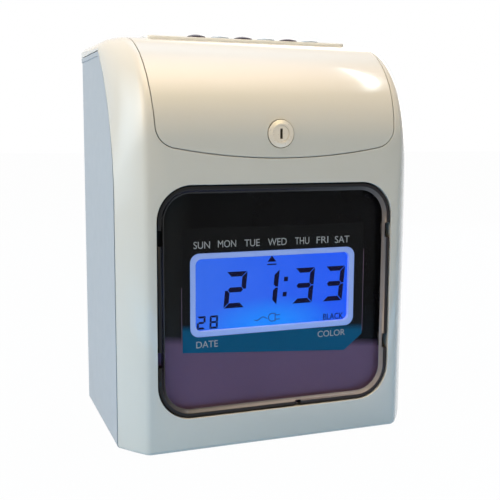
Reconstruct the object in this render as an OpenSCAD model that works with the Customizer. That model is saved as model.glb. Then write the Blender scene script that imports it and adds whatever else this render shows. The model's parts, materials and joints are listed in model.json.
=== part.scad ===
/* [Case] */
// Width of the case at the parting line
case_w = 173; // [165:1:185]
// Width of the case at its rear wall
rear_w = 167; // [162:1:172]
// Depth of the case from the flat front to the rear wall
case_d = 118; // [114:1:126]
// Height of the case without feet and keys
case_h = 220.6; // [216:0.2:232]
// Thickness of the moulded walls
wall = 2.5; // [2:0.1:3]
// Width of the flat front between the bevelled cheeks
front_w = 147; // [146:1:150]
// Radius of the hood between the front and the top
hood_r = 55; // [50:1:58]
// How far the parting line lies behind the flat front
cheek_set = 17.5; // [15:0.5:20]
// How far the side walls end below the top
shoulder_drop = 7.6; // [6:0.2:9]
// Radius of the parting line's curve on the side
parting_r = 96; // [90:1:104]
// Height of the parting line's curve on the side
parting_rise = 78; // [70:1:82]
// Width of the rim strip along the parting line
rim_w = 2.5; // [2:0.1:3.5]
// How far the rim strip stands proud of the side
rim_proud = 0.45; // [0.2:0.05:0.8]
// Gap of the seam between the two housings
seam = 0.5; // [0.3:0.1:0.8]
// Radius of the rear upright edges
rear_edge_r = 4; // [2:0.5:6]
// Radius of the case's lower edge
base_r = 2.4; // [1:0.1:2.4]

/* [Window] */
// Width of the window opening
window_w = 136.6; // [130:0.2:138]
// Depth of the window's upper edge below the top
window_drop = 78.2; // [76:0.2:84]
// Height of the window's lower edge above the case bottom
window_z = 18.1; // [15:0.1:20]
// Corner radius of the window
window_r = 19; // [14:1:24]
// Depth from the front to the back of the window tunnel
tunnel_d = 10; // [9:0.5:12]
// Thickness of the lens sheet
lens_t = 2; // [1.5:0.1:2.2]
// How far the lens sheet lies behind the front
lens_set = 4.2; // [3.5:0.1:4.4]
// Width of the lens rim
lens_rim = 2.4; // [1.5:0.1:4]
// Thickness of the display panel
panel_t = 2; // [1.5:0.1:2.4]

/* [Display] */
// Width of the display frame
lcd_w = 97.2; // [90:0.2:104]
// Height of the display frame
lcd_h = 45.2; // [40:0.2:50]
// Height of the display frame's lower edge above the case bottom
lcd_z = 60.5; // [56:0.5:66]
// Face width of the display frame
lcd_border = 3; // [2:0.1:4]
// Corner radius of the display frame
lcd_r = 5; // [3:0.5:7]
// Thickness of the display glass
glass_t = 2; // [1:0.1:2.4]
// Thickness of the display's light guide
guide_t = 3.4; // [2.4:0.1:4]

/* [Lid and lock] */
// Thickness of the lid
lid_t = 2.4; // [2:0.1:2.8]
// Gap of the seam round the lid
lid_gap = 0.5; // [0.4:0.1:1]
// Depth of the lid's lower edge below the top, at its middle
lid_drop = 64.5; // [62:0.5:68]
// Half width of the lid low on the front
lid_low = 68.3; // [67:0.1:70]
// Half width of the lid at the top
lid_high = 71; // [70:0.1:73]
// Radius of the lid's bowed lower edge
lid_bow_r = 324; // [300:2:400]
// Radius of the lid's lower corners
lid_corner_r = 11.5; // [7:0.5:13]
// Radius of the lid's hinge barrel
barrel_r = 4; // [3.5:0.1:4.4]
// Diameter of the hinge pins
hinge_pin_d = 3; // [2.4:0.1:3.4]
// Diameter of the lock's face
lock_d = 14.6; // [13.6:0.1:16]
// How far the lock stands proud of the lid
lock_proud = 1; // [0.8:0.1:2]
// Depth of the lock's centre below the top
lock_drop = 51.9; // [50:0.1:53]
// Diameter of the turning lock plug
plug_d = 8.6; // [7:0.1:9]

/* [Keys and card] */
// Width of the key deck
deck_w = 122; // [116:1:124]
// How far the deck's front edge lies behind the flat front
deck_y = 46; // [44:0.5:50]
// How far the deck stands above the lid
deck_rise = 1; // [0.8:0.1:2]
// Diameter of a key
key_d = 10.6; // [9:0.1:11.2]
// Distance between keys
key_pitch = 14.1; // [13.8:0.1:15]
// How far a key stands above the deck
key_proud = 2.3; // [1.8:0.1:4]
// Travel of a key
key_travel = 1.6; // [1:0.1:2]
// How far the key row lies right of the deck's middle
key_shift = 5.4; // [0:0.2:8]
// Width of the card slot
slot_w = 89; // [87:0.5:92]
// Depth of the card slot, front to back
slot_d = 5; // [4.6:0.1:5.4]
// Distance from the card's plane to the rear of the case
card_to_rear = 28; // [27:0.5:30]

/* [Mechanism] */
// Distance between the chassis side plates
bay_w = 116; // [114:1:120]
// Thickness of the chassis sheet
sheet_t = 1.5; // [1:0.1:2]
// Diameter of the feed rollers
feed_d = 12.4; // [11:0.1:13]
// Diameter of the pinch rollers
pinch_d = 12; // [11:0.1:13]
// Diameter of the feed shaft
feed_shaft_d = 5; // [4:0.1:6]
// Diameter of the pinch shaft
pinch_shaft_d = 4; // [3:0.1:5]
// Height of the roller nip above the case bottom
nip_z = 75; // [72:0.5:78]
// Gear module of the card feed
gear_m = 0.8; // [0.7:0.05:0.9]
// Teeth on the feed gear
gear_teeth = 36; // [34:1:38]
// Teeth on the motor pinion
pinion_teeth = 12; // [11:1:13]
// Height of the print line above the case bottom
print_z = 130.5; // [128:0.5:134]
// Travel of the carriage to each side
carriage_travel = 30; // [20:1:32]
// Width of the print carriage
carriage_w = 26; // [22:1:30]
// Diameter of the guide rods
rod_d = 6; // [5:0.1:7]
// Distance between the belt pulleys
belt_span = 84; // [78:1:88]
// Diameter of the belt pulleys
pulley_d = 12; // [10:0.1:13]

/* [Power and mounts] */
// Height of the rubber feet below the case
foot_h = 1.5; // [1:0.1:3]
// Diameter of the rubber feet
foot_d = 12; // [10:0.5:16]
// Distance between the wall keyholes
keyhole_span = 100; // [80:1:110]
// Diameter of a keyhole's round entry
keyhole_d = 9; // [8:0.1:10]
// Width of a keyhole's slot
keyhole_slot = 4.6; // [4:0.1:5]
// Depth of the keyholes' round entries below the top
keyhole_drop = 24.6; // [22.6:0.2:26.6]
// Diameter of the case screws' threads
screw_d = 3; // [2.5:0.1:3.5]

/* [Hidden] */
$fn = 64;

// Clearances and small sizes shared by several pieces
fit = 0.3;
window_h = case_h - window_drop - window_z;
keyhole_z = case_h - keyhole_drop;
card_y = case_d - card_to_rear;
slot_front = card_y - slot_d / 2;
slot_back = card_y + slot_d / 2;
run = 0.05;
cut = 1;
thin = 0.01;
arc_steps = 24;
bow_fn = 360;

// Colours
cream = "#e4dfd2";
grey_white = "#c8ccd2";
near_black = "#1b1b1c";
pale_blue = "#bcc6e2";
lcd_blue = "#3b66d9";
board_green = "#2f6b45";
steel = "#b4b8bc";
zinc = "#9da3a8";
black_plastic = "#2a2a2c";
rubber = "#38383a";
white_plastic = "#ececea";
brass = "#b8954a";
copper = "#a8623a";

// The case's outline
half_w = case_w / 2;
half_rear = rear_w / 2;
half_front = front_w / 2;
cheek_w = half_w - half_front;
hood_z = case_h - hood_r;
side_top = case_h - shoulder_drop;
parting_y = cheek_set + parting_r;
parting_z = side_top - parting_rise;
edge_soft = 1.5;
front_y = -(case_d - lock_proud) / 2;
inner_rear = case_d - wall;

// Where each cross-section of the case stands, and how far it has gone from the hood's
// outline, 0, to the side's outline, 1: first on the front, then on the top
sections = [
    [half_front - edge_soft, 0, 0],
    [half_front, 0.03, 0.01],
    [half_front + edge_soft, 0.09, 0.03],
    [half_front + cheek_w * 0.56, 0.51, 0.21],
    [half_front + cheek_w * 0.8, 0.78, 0.56],
    [half_w, 1, 1]
];

// Puts a piece into the part's frame: y counts back from the flat front, z up from the case
module piece(c) {
    translate([0, front_y, foot_h]) color(c) children();
}

// A flat outline in y and z, carried along x
module slab_x(x0, x1) {
    translate([x0, 0, 0]) rotate([90, 0, 90]) linear_extrude(x1 - x0) children();
}

// A flat outline in x and z, carried along y
module slab_y(y0, y1) {
    translate([0, y1, 0]) rotate([90, 0, 0]) linear_extrude(y1 - y0) children();
}

// A flat outline in x and y, carried along z
module slab_z(z0, z1) {
    translate([0, 0, z0]) linear_extrude(z1 - z0) children();
}

module block(x0, x1, y0, y1, z0, z1) {
    translate([x0, y0, z0]) cube([x1 - x0, y1 - y0, z1 - z0]);
}

module rod_x(x0, x1, y, z, d) {
    translate([x0, y, z]) rotate([0, 90, 0]) cylinder(h = x1 - x0, d = d);
}

module rod_y(y0, y1, x, z, d) {
    translate([x, y1, z]) rotate([90, 0, 0]) cylinder(h = y1 - y0, d = d);
}

module rod_z(z0, z1, x, y, d) {
    translate([x, y, z0]) cylinder(h = z1 - z0, d = d);
}

module both_sides() {
    children();
    mirror([1, 0, 0]) children();
}

module rect(x0, x1, y0, y1) {
    translate([x0, y0]) square([x1 - x0, y1 - y0]);
}

// A rectangle with round corners, from its middle
module round_rect(w, h, r) {
    square([w - 2 * r, h], center = true);
    square([w, h - 2 * r], center = true);
    for (sx = [-1, 1], sy = [-1, 1])
        translate([sx * (w / 2 - r), sy * (h / 2 - r)]) circle(r);
}

// The hood's outline from the side, drawn in by o
module hood_2d(o) {
    rect(o, case_d - o, o, hood_z);
    rect(hood_r, case_d - o, hood_z, case_h - o);
    intersection() {
        translate([hood_r, hood_z]) circle(hood_r - o, $fn = 180);
        rect(o, hood_r, hood_z, case_h - o);
    }
}

// Everything behind the parting line, seen from the side, drawn in by o
module behind_parting_2d(o) {
    rect(cheek_set + o, case_d + cut, -cut, parting_z);
    intersection() {
        translate([parting_y, parting_z]) circle(parting_r - o, $fn = bow_fn);
        rect(cheek_set + o, case_d + cut, parting_z, side_top - o);
    }
}

function half_at(y) = half_w - (half_w - half_rear) * (y - cheek_set) / (case_d - cheek_set);

// The case from above: sides drawn in by o and the rear by b
module plan_2d(o, b) {
    y_rear = case_d - b;
    y_edge = y_rear - rear_edge_r;
    x_edge = half_at(y_edge) - o;
    polygon([
        [o - half_w, -cut], [half_w - o, -cut], [half_w - o, cheek_set],
        [x_edge, y_edge], [x_edge - rear_edge_r, y_rear],
        [rear_edge_r - x_edge, y_rear], [-x_edge, y_edge], [o - half_w, cheek_set]
    ]);
    for (s = [-1, 1])
        translate([s * (x_edge - rear_edge_r), y_edge]) circle(rear_edge_r);
}

function hood_points(o) = concat(
    [[o, o]],
    [for (i = [0:arc_steps]) let (a = 90 * i / arc_steps)
        [hood_r - (hood_r - o) * cos(a), hood_z + (hood_r - o) * sin(a)]],
    [[case_d - o, case_h - o], [case_d - o, o]]);

function side_points(o) = let (sweep = asin((parting_rise - o) / (parting_r - o))) concat(
    [[cheek_set + o, o]],
    [for (i = [0:arc_steps]) let (a = sweep * i / arc_steps)
        [parting_y - (parting_r - o) * cos(a), parting_z + (parting_r - o) * sin(a)]],
    [[case_d - o, side_top - o], [case_d - o, o]]);

// The whole case with its bevelled cheeks, drawn in by o: one ring of points at each section
module case_form(o) {
    rings = concat(
        [for (i = [len(sections) - 1:-1:0]) [o - sections[i][0], sections[i][1], sections[i][2]]],
        [for (s = sections) [s[0] - o, s[1], s[2]]]);
    hood = hood_points(o);
    side = side_points(o);
    n = len(hood);
    last = len(rings) - 1;
    points = [for (r = rings) for (i = [0:n - 1])
        let (k = max(0, min(1, (i - 1) / arc_steps)), w = r[1] + k * (r[2] - r[1]),
            p = hood[i] + w * (side[i] - hood[i]))
        [r[0], p[0], p[1]]];
    walls = [for (k = [0:last - 1], i = [0:n - 1]) let (j = (i + 1) % n)
        each [[k * n + i, k * n + j, k * n + n + j], [k * n + i, k * n + n + j, k * n + n + i]]];
    polyhedron(points, concat(walls, [
        [for (i = [n - 1:-1:0]) i],
        [for (i = [0:n - 1]) last * n + i]
    ]));
}

// The case's outline at its base, from the left cheek round the front to the rear
edge_steps = 6;
edge_y = case_d - rear_edge_r;
edge_x = half_at(edge_y) - rear_edge_r;
edge_arc = [for (i = [0:edge_steps]) let (a = 90 * i / edge_steps)
    [edge_x + rear_edge_r * cos(a), edge_y + rear_edge_r * sin(a)]];
last_edge = len(edge_arc) - 1;
base_points = concat(
    [for (i = [len(sections) - 1:-1:0]) [-sections[i][0], sections[i][1] * cheek_set]],
    [for (s = sections) [s[0], s[1] * cheek_set]],
    edge_arc,
    [for (i = [last_edge:-1:0]) [-edge_arc[i][0], edge_arc[i][1]]]);

// The inward normal of the edge that leaves point i of an outline
function inward(p, i) = let (e = p[(i + 1) % len(p)] - p[i]) [-e[1], e[0]] / norm(e);

// An outline that turns left all the way, drawn in by o
function drawn_in(p, o) = let (n = len(p)) [for (i = [0:n - 1])
    let (u = inward(p, (i + n - 1) % n), v = inward(p, i)) p[i] + o * (u + v) / (1 + u * v)];

// Heights of the round lower edge, each with how far the outline is drawn in there
base_step = 30;
base_layers = concat(
    [[-2 * cut, base_r]],
    [for (a = [0:base_step:90 - base_step]) [base_r * (1 - cos(a)), base_r * (1 - sin(a))]],
    [for (h = [0, 2 * cut]) [base_r * (2 - cos(90 - base_step)) + h, base_r * (sin(90 - base_step) - 1)]]);

// What the round lower edge takes off the case
module base_edge() {
    n = len(base_points);
    last = len(base_layers) - 1;
    points = [for (b = base_layers) for (p = drawn_in(base_points, b[1])) [p[0], p[1], b[0]]];
    walls = [for (k = [0:last - 1], i = [0:n - 1]) let (j = (i + 1) % n)
        each [[k * n + i, k * n + n + j, k * n + j], [k * n + i, k * n + n + i, k * n + n + j]]];
    difference() {
        block(-half_w - cut, half_w + cut, -cut, case_d + cut, -cut, base_layers[last - 1][0]);
        polyhedron(points, concat(walls, [
            [for (i = [0:n - 1]) i],
            [for (i = [n - 1:-1:0]) last * n + i]
        ]));
    }
}

// Screws that join the housings: two through the floor and two through the rear wall
screw_head_d = 5.6;
screw_head_h = 1.2;
head_room = 0.1;
flange_w = 4;
tab_half = 5;
floor_screw_x = bay_w / 2 + flange_w + fit + tab_half;
floor_screw_y = 22;
screw_in = 7;
rear_screw_x = half_rear - screw_in;
rear_screw_z = side_top - screw_in;
tab_t = 2.7;

// Feet and the bosses that carry the chassis and the main board
foot_x = 65;
foot_front = 33;
foot_back = 14;
foot_rows = [foot_front, case_d - foot_back];
foot_plug_d = 5;
boss_h = 2.5;
boss_d = 8;
boss_x = 50;
bay_set = 60;
bay_back = 12;
bay_front = card_y - bay_set;
bay_rear = case_d - bay_back;
boss_in = 7;
boss_rows = [bay_front + boss_in, bay_rear - boss_in];
base_z = wall + boss_h;
post_d = 7;
post_len = 5.9;
post_x = 46;
post_low = 96;
post_drop = 36.6;
post_rows = [post_low, case_h - post_drop];
board_t = 1.6;
board_y = inner_rear - post_len;

// The power inlet
inlet_x = -35;
inlet_z = 30;
inlet_w = 20;
inlet_h = 12;
inlet_d = 18;

module keyhole_2d() {
    slot_len = 8;
    circle(d = keyhole_d);
    rect(-keyhole_slot / 2, keyhole_slot / 2, 0, slot_len);
    translate([0, slot_len]) circle(d = keyhole_slot);
}

module rear_housing() {
    piece(grey_white) difference() {
        union() {
            difference() {
                union() {
                    intersection() {
                        slab_x(-half_w, half_w) behind_parting_2d(0);
                        slab_z(0, side_top) plan_2d(rim_proud, 0);
                    }
                    intersection() {
                        slab_x(-half_w, half_w) difference() {
                            behind_parting_2d(0);
                            behind_parting_2d(rim_w);
                        }
                        slab_z(0, side_top) plan_2d(0, 0);
                    }
                }
                slab_z(wall, case_h) plan_2d(wall + rim_proud, wall);
            }
            for (x = [-boss_x, boss_x], y = boss_rows)
                rod_z(wall - thin, base_z, x, y, boss_d);
            for (x = [-post_x, post_x], z = post_rows)
                rod_y(board_y, inner_rear + thin, x, z, post_d);
        }
        for (x = [-boss_x, boss_x], y = boss_rows)
            rod_z(cut, base_z + cut, x, y, screw_d);
        for (x = [-post_x, post_x], z = post_rows)
            rod_y(board_y - cut, inner_rear, x, z, screw_d);
        for (x = [-foot_x, foot_x], y = foot_rows)
            rod_z(-cut, wall + cut, x, y, foot_plug_d);
        both_sides() {
            rod_z(-cut, wall + cut, floor_screw_x, floor_screw_y, screw_d + fit);
            rod_z(-cut, screw_head_h + head_room, floor_screw_x, floor_screw_y, screw_head_d + fit);
            rod_y(inner_rear - cut, case_d + cut, rear_screw_x, rear_screw_z, screw_d + fit);
            rod_y(case_d - screw_head_h - head_room, case_d + cut, rear_screw_x, rear_screw_z,
                screw_head_d + fit);
        }
        for (x = [-keyhole_span / 2, keyhole_span / 2])
            translate([x, 0, keyhole_z]) slab_y(inner_rear - cut, case_d + cut) keyhole_2d();
        translate([inlet_x, 0, inlet_z]) slab_y(inner_rear - cut, case_d + cut)
            square([inlet_w + fit, inlet_h + fit], center = true);
        base_edge();
    }
}

// The window, its middle and its outline grown by g
window_mid = window_z + window_h / 2;
tunnel_t = 2;

module window_2d(g) {
    translate([0, window_mid]) round_rect(window_w + 2 * g, window_h + 2 * g, window_r + g);
}

// The lid's outline from the front, grown by g
lid_z = case_h - lid_drop;
bow_z = lid_z + lid_bow_r;
corner_x = lid_low - lid_corner_r;
corner_z = bow_z - sqrt(pow(lid_bow_r - lid_corner_r, 2) - pow(corner_x, 2));
corner_a = asin(corner_x / (lid_bow_r - lid_corner_r));

module lid_2d(g) {
    reach = 2 * lid_corner_r;
    polygon([
        [-lid_high - g, case_h + cut], [lid_high + g, case_h + cut],
        [lid_low + g, corner_z], [-lid_low - g, corner_z]
    ]);
    for (s = [-1, 1])
        translate([s * corner_x, corner_z]) circle(lid_corner_r + g);
    intersection() {
        translate([0, bow_z]) circle(lid_bow_r + g, $fn = bow_fn);
        polygon([
            [-corner_x, corner_z], [corner_x, corner_z],
            [corner_x + reach * sin(corner_a), corner_z - reach * cos(corner_a)],
            [-corner_x - reach * sin(corner_a), corner_z - reach * cos(corner_a)]
        ]);
    }
}

// The hinge at the lid's rear edge
hinge_y = case_d - wall - 1 - barrel_r;
hinge_z = case_h - barrel_r;
lid_rear = hinge_y + barrel_r;
lug_x = lid_high + lid_gap;
lug_t = 4.6;
lug_half = 5;

// The ledge under the lid's edge
ledge_gap = 0.4;
ledge_lap = 0.5;
ledge_t = 2;
ledge_w = 3;
ledge_out = lid_gap + 1;
ledge_rear = hinge_y - barrel_r - 2;

module front_housing() {
    tab_rear = inner_rear - fit;
    tab_edge = half_rear - wall - rim_proud - rear_edge_r;
    piece(cream) difference() {
        union() {
            difference() {
                intersection() {
                    case_form(0);
                    slab_z(-cut, case_h + cut) plan_2d(0, 0);
                }
                case_form(wall);
                slab_x(-half_w - cut, half_w + cut) behind_parting_2d(-seam);
            }
            slab_y(wall / 2, tunnel_d) window_2d(tunnel_t);
            intersection() {
                slab_x(-half_w, half_w) difference() {
                    hood_2d(lid_t + ledge_gap - ledge_lap);
                    hood_2d(lid_t + ledge_gap + ledge_t);
                }
                slab_y(0, ledge_rear) difference() {
                    lid_2d(ledge_out);
                    lid_2d(-ledge_w);
                }
            }
            intersection() {
                case_form(wall / 2);
                both_sides() {
                    block(lug_x, lug_x + lug_t, hinge_y - lug_half, tab_rear,
                        hinge_z - lug_half, case_h);
                    slab_z(rear_screw_z - tab_half, case_h) polygon([
                        [lug_x, tab_rear - tab_t], [tab_edge + tab_t, tab_rear - tab_t],
                        [tab_edge + fit, tab_rear], [lug_x, tab_rear]
                    ]);
                }
            }
            both_sides() {
                block(floor_screw_x - tab_half, floor_screw_x + tab_half, cheek_set / 2,
                    floor_screw_y + tab_half, wall + fit, wall + fit + tab_t);
                block(floor_screw_x - tab_half, floor_screw_x + tab_half, cheek_set / 2,
                    cheek_set - seam - cut, wall - thin, wall + fit + tab_t);
            }
        }
        slab_y(-cut, tunnel_d + cut) window_2d(0);
        intersection() {
            slab_y(-cut, lid_rear + lid_gap) lid_2d(lid_gap);
            slab_x(-half_w, half_w) difference() {
                hood_2d(-cut);
                hood_2d(lid_t + ledge_gap);
            }
        }
        slab_y(-cut, lid_rear + lid_gap) lid_2d(-ledge_w);
        block(-lug_x, lug_x, ledge_rear, lid_rear + lid_gap, hinge_z - lug_half, case_h + cut);
        both_sides() {
            rod_x(lug_x - cut, lug_x + lug_t + cut, hinge_y, hinge_z, hinge_pin_d);
            rod_z(0, wall + fit + tab_t + cut, floor_screw_x, floor_screw_y, screw_d);
            rod_y(tab_rear - tab_t - cut, case_d, rear_screw_x, rear_screw_z, screw_d);
        }
        base_edge();
    }
}

// The display stack, front to back
lens_front = 0.6;
lens_gap = 0.2;
panel_y = lens_set + lens_t + lens_gap;
panel_back = panel_y + panel_t;
bezel_d = 2.5;
glass_y = panel_y + bezel_d;
guide_y = glass_y + glass_t;
pcb_y = guide_y + guide_t;
pcb_back = pcb_y + board_t;
pcb_w = 124;
pcb_h = 76;
lcd_mid = lcd_z + lcd_h / 2;
stud_d = 5;
stud_in = 5;
stud_x = pcb_w / 2 - stud_in;
stud_z = pcb_h / 2 - stud_in;
clip_h = 8;
clip_deep = 1.4;
clip_low = 33;
clip_high = 27.3;
clip_rows = [clip_low, window_h - clip_high];
nub_w = 3;

module window_lens() {
    piece("#5a5a66") difference() {
        union() {
            slab_y(lens_set, lens_set + lens_t) window_2d(-fit);
            slab_y(lens_front, lens_set + lens_t) difference() {
                window_2d(-fit);
                window_2d(-fit - lens_rim);
            }
        }
        both_sides()
            for (z = clip_rows)
                block(window_w / 2 - fit - clip_deep, window_w / 2 + cut, 0, lens_set,
                    window_z + z - clip_h / 2, window_z + z + clip_h / 2);
        block(-nub_w / 2, nub_w / 2, 0, lens_set, window_z - cut, window_z + fit + clip_deep);
    }
}

module display_panel() {
    piece(near_black) difference() {
        union() {
            slab_y(panel_y, panel_back) window_2d(-fit);
            for (x = [-stud_x, stud_x], z = [-stud_z, stud_z])
                rod_y(panel_back - thin, pcb_y, x, lcd_mid + z, stud_d);
        }
        translate([0, 0, lcd_mid]) slab_y(panel_y - cut, panel_back + cut)
            round_rect(lcd_w + fit, lcd_h + fit, lcd_r + fit / 2);
        for (x = [-stud_x, stud_x], z = [-stud_z, stud_z])
            rod_y(panel_back, pcb_y + cut, x, lcd_mid + z, screw_d);
    }
}

module lcd_bezel() {
    piece(pale_blue) translate([0, 0, lcd_mid]) slab_y(panel_y, glass_y) difference() {
        round_rect(lcd_w, lcd_h, lcd_r);
        round_rect(lcd_w - 2 * lcd_border, lcd_h - 2 * lcd_border, lcd_r - lcd_border / 2);
    }
}

module lcd_glass() {
    piece(lcd_blue) translate([0, 0, lcd_mid]) slab_y(glass_y, guide_y)
        square([lcd_w - lcd_border, lcd_h - lcd_border], center = true);
}

module lcd_backlight() {
    piece(white_plastic) translate([0, 0, lcd_mid]) slab_y(guide_y, pcb_y)
        square([lcd_w - lcd_border, lcd_h - lcd_border], center = true);
}

module display_board() {
    piece(board_green) difference() {
        block(-pcb_w / 2, pcb_w / 2, pcb_y, pcb_back, lcd_mid - pcb_h / 2, lcd_mid + pcb_h / 2);
        for (x = [-stud_x, stud_x], z = [-stud_z, stud_z])
            rod_y(pcb_y - cut, pcb_back + cut, x, lcd_mid + z, screw_d + fit);
    }
}

buzzer_d = 14;
buzzer_h = 8;
sound_hole = 2;

module buzzer() {
    x = pcb_w / 2 - buzzer_d;
    piece(black_plastic) difference() {
        rod_y(pcb_back, pcb_back + buzzer_h, x, lcd_mid - stud_z + buzzer_d / 2, buzzer_d);
        rod_y(pcb_back + buzzer_h / 2, pcb_back + buzzer_h + cut, x,
            lcd_mid - stud_z + buzzer_d / 2, sound_hole);
    }
}

// The lock in the lid
lock_z = case_h - lock_drop;
lock_barrel_t = 1.5;
lock_barrel_d = plug_d + 2 * lock_barrel_t;
lock_len = 17.5;
pad_d = lock_d + 2;
pad_t = 1.3;
pad_back = lid_t + pad_t;
lock_edge = 0.8;
lock_bevel = 2;
seat_gap = 0.35;
seat_deep = 1.6;
plug_set = 0.3;
nut_d = 18;
nut_t = 3;
stem_d = 4;
cam_t = 1.8;
cam_gap = 0.5;
cam_y = lock_len + cam_gap;
cam_len = 18;
strike_drop = 5.6;
cam_w = 8;
keyway_w = 1.4;
keyway_h = 5.4;
keyway_deep = 9;

// The deck and its place in the lid
deck_gap = 0.7;
deck_back = 1.5;
deck_rear = hinge_y - barrel_r - deck_back;
deck_top = case_h + deck_rise;
deck_t = 2.2;
deck_wall = 2;
deck_r = 4;
chassis_drop = 15.1;
chassis_z = case_h - chassis_drop;
pin_deep = 12;

module lid() {
    piece(cream) difference() {
        union() {
            intersection() {
                slab_x(-half_w, half_w) difference() {
                    hood_2d(0);
                    hood_2d(lid_t);
                }
                slab_y(-cut, hinge_y) lid_2d(0);
            }
            rod_x(-lid_high, lid_high, hinge_y, hinge_z, 2 * barrel_r);
            rod_y(lid_t / 2, pad_back, 0, lock_z, pad_d);
        }
        block(-deck_w / 2 - deck_gap, deck_w / 2 + deck_gap, deck_y - deck_gap,
            deck_rear + deck_gap, hood_z, case_h + cut);
        rod_y(-cut, pad_back + cut, 0, lock_z, lock_barrel_d + fit);
        rod_y(-cut, seat_deep, 0, lock_z, lock_d + 2 * seat_gap);
        both_sides()
            rod_x(lid_high - pin_deep, lid_high + cut, hinge_y, hinge_z, hinge_pin_d + 2 * run);
    }
}

module lid_hinge_pins() {
    piece(steel) both_sides()
        rod_x(lid_high - pin_deep + fit, lug_x + lug_t, hinge_y, hinge_z, hinge_pin_d);
}

module lock_body() {
    piece(steel) difference() {
        union() {
            rod_y(-lock_proud + lock_edge, seat_deep, 0, lock_z, lock_d);
            translate([0, -lock_proud + lock_edge, lock_z]) rotate([90, 0, 0])
                cylinder(h = lock_edge, d1 = lock_d, d2 = lock_d - 2 * lock_bevel);
            rod_y(seat_deep - thin, lock_len, 0, lock_z, lock_barrel_d);
        }
        rod_y(-lock_proud - cut, lock_len + cut, 0, lock_z, plug_d + 2 * run);
    }
}

module lock_nut() {
    piece(zinc) difference() {
        translate([0, pad_back + nut_t, lock_z]) rotate([90, 0, 0])
            cylinder(h = nut_t, d = nut_d, $fn = 6);
        rod_y(pad_back - cut, pad_back + nut_t + cut, 0, lock_z, lock_barrel_d);
    }
}

module lock_plug() {
    piece(zinc) difference() {
        union() {
            rod_y(plug_set - lock_proud, lock_len, 0, lock_z, plug_d);
            rod_y(lock_len - thin, cam_y + cam_t + cut, 0, lock_z, stem_d);
        }
        block(-keyway_w / 2, keyway_w / 2, -lock_proud - cut, keyway_deep,
            lock_z - keyway_h / 2, lock_z + keyway_h / 2);
    }
}

module lock_cam() {
    piece(steel) translate([0, 0, lock_z]) slab_y(cam_y, cam_y + cam_t) difference() {
        union() {
            circle(d = cam_w);
            rect(0, cam_len - cam_w / 2, -cam_w / 2, cam_w / 2);
            translate([cam_len - cam_w / 2, 0]) circle(d = cam_w);
        }
        circle(d = stem_d);
    }
}

module lock_strike() {
    lip_y = cam_y - fit;
    arm_z = lid_z - strike_drop;
    foot_z = window_z + window_h + tunnel_t + fit;
    piece(steel) {
        block(-cam_w, cam_w, wall, wall + sheet_t, foot_z, arm_z + sheet_t);
        block(-cam_w, cam_w, wall, lip_y, arm_z, arm_z + sheet_t);
        block(-cam_w, cam_w, lip_y - sheet_t, lip_y, arm_z, arm_z + cam_w);
    }
}

// Keys, their board and switches
key_y = deck_y + deck_wall + fit + key_d / 2;
deck_under = deck_top - deck_t;
key_ear = 0.9;
ear_half = 3;
ear_t = 1.6;
dome_r = 12;
key_count = 6;
switch_w = 6;
switch_h = 3.4;
plunger_h = 0.7;
plunger_d = 3.4;
key_post_h = 4;
key_post_d = 5;
key_pcb_z = chassis_z + key_post_h;
switch_z = key_pcb_z + board_t;
stem_z = switch_z + switch_h + plunger_h + key_travel + fit;
key_pcb_half = 5;
first_key = key_shift - (key_count - 1) / 2 * key_pitch;
last_key = key_shift + (key_count - 1) / 2 * key_pitch;
throat_wall = 1.5;

function key_x(n) = first_key + (n - 1) * key_pitch;

module key_deck() {
    mid_y = (deck_y + deck_rear) / 2;
    piece(cream) difference() {
        union() {
            difference() {
                translate([0, mid_y, 0]) slab_z(chassis_z, deck_top)
                    round_rect(deck_w, deck_rear - deck_y, deck_r);
                translate([0, mid_y, 0]) slab_z(chassis_z - cut, deck_under)
                    round_rect(deck_w - 2 * deck_wall, deck_rear - deck_y - 2 * deck_wall,
                        deck_r - deck_wall);
            }
            block(-slot_w / 2 - throat_wall, slot_w / 2 + throat_wall, slot_front - throat_wall,
                slot_back + throat_wall, chassis_z, deck_top - thin);
        }
        block(-slot_w / 2, slot_w / 2, slot_front, slot_back, chassis_z - cut, deck_top + cut);
        for (n = [1:key_count])
            rod_z(deck_under - cut, deck_top + cut, key_x(n), key_y, key_d + 2 * fit);
    }
}

module key(n, c) {
    top_z = deck_top + key_proud;
    ear_top = deck_under - fit;
    ear_out = key_d / 2 + key_ear;
    piece(c) translate([key_x(n), key_y, 0]) {
        intersection() {
            rod_z(ear_top - ear_t, top_z, 0, 0, key_d);
            translate([0, 0, top_z - dome_r]) sphere(dome_r);
        }
        block(-ear_out, ear_out, -ear_half, ear_half, ear_top - ear_t, ear_top);
        rod_z(stem_z, ear_top, 0, 0, plunger_d);
    }
}

module key_1() { key(1, black_plastic); }
module key_2() { key(2, white_plastic); }
module key_3() { key(3, black_plastic); }
module key_4() { key(4, white_plastic); }
module key_5() { key(5, black_plastic); }
module key_6() { key(6, white_plastic); }

module key_board() {
    piece(board_green)
        block(first_key - key_pitch / 2, last_key + key_pitch / 2, key_y - key_pcb_half,
            key_y + key_pcb_half, key_pcb_z, switch_z);
}

module key_switches() {
    piece(black_plastic)
        for (n = [1:key_count]) {
            block(key_x(n) - switch_w / 2, key_x(n) + switch_w / 2, key_y - switch_w / 2,
                key_y + switch_w / 2, switch_z, switch_z + switch_h);
            rod_z(switch_z, switch_z + switch_h + plunger_h, key_x(n), key_y, plunger_d);
        }
}

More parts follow.
